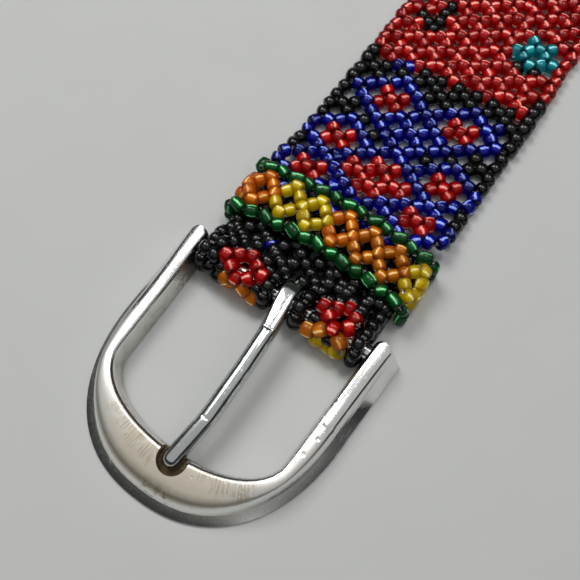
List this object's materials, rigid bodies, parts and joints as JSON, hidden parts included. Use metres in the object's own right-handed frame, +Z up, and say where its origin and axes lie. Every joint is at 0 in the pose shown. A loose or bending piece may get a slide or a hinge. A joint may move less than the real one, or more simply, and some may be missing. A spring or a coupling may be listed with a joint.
{
  "type": "beaded belt buckle end",
  "caption": "Buckle end of a netted bead belt: cast horseshoe frame with a bar and a prong, folded bead strap and a beaded keeper band.",
  "frame": {"origin": "middle of the box's base, on the surface that the belt lies on", "axes": "+Y along the strap, away from the buckle; +X along the buckle's bar; +Z up"},
  "size_m": [0.0486, 0.1492, 0.008],
  "materials": {
    "cast_metal": "satin brushed top, polished rim, nickel colour",
    "polished_steel": "polished, with small nicks",
    "bead_blue": "silver-lined cobalt glass",
    "bead_red": "silver-lined ruby glass",
    "bead_orange": "silver-lined orange glass",
    "bead_amber": "silver-lined amber glass",
    "bead_yellow": "silver-lined yellow glass",
    "bead_green": "silver-lined green glass",
    "bead_teal": "silver-lined teal glass",
    "bead_black": "opaque glossy black glass",
    "thread": "fine clear beading thread"
  },
  "bodies": {
    "strap": {"strap": "bead_blue", "keeper_band": "bead_orange"},
    "buckle_frame": {"buckle_frame": "cast_metal"},
    "prong": {"prong": "polished_steel"}
  },
  "joints": [
    {"name": "frame_hinge", "type": "hinge", "parent": "strap", "child": "buckle_frame", "pos_m": [0, -0.0314, 0.0039], "axis": [1, 0, 0], "range_deg": [-25, 60]},
    {"name": "prong_hinge", "type": "hinge", "parent": "buckle_frame", "child": "prong", "pos_m": [0, -0.0314, 0.0039], "axis": [-1, 0, 0], "range_deg": [0, 80]}
  ]
}
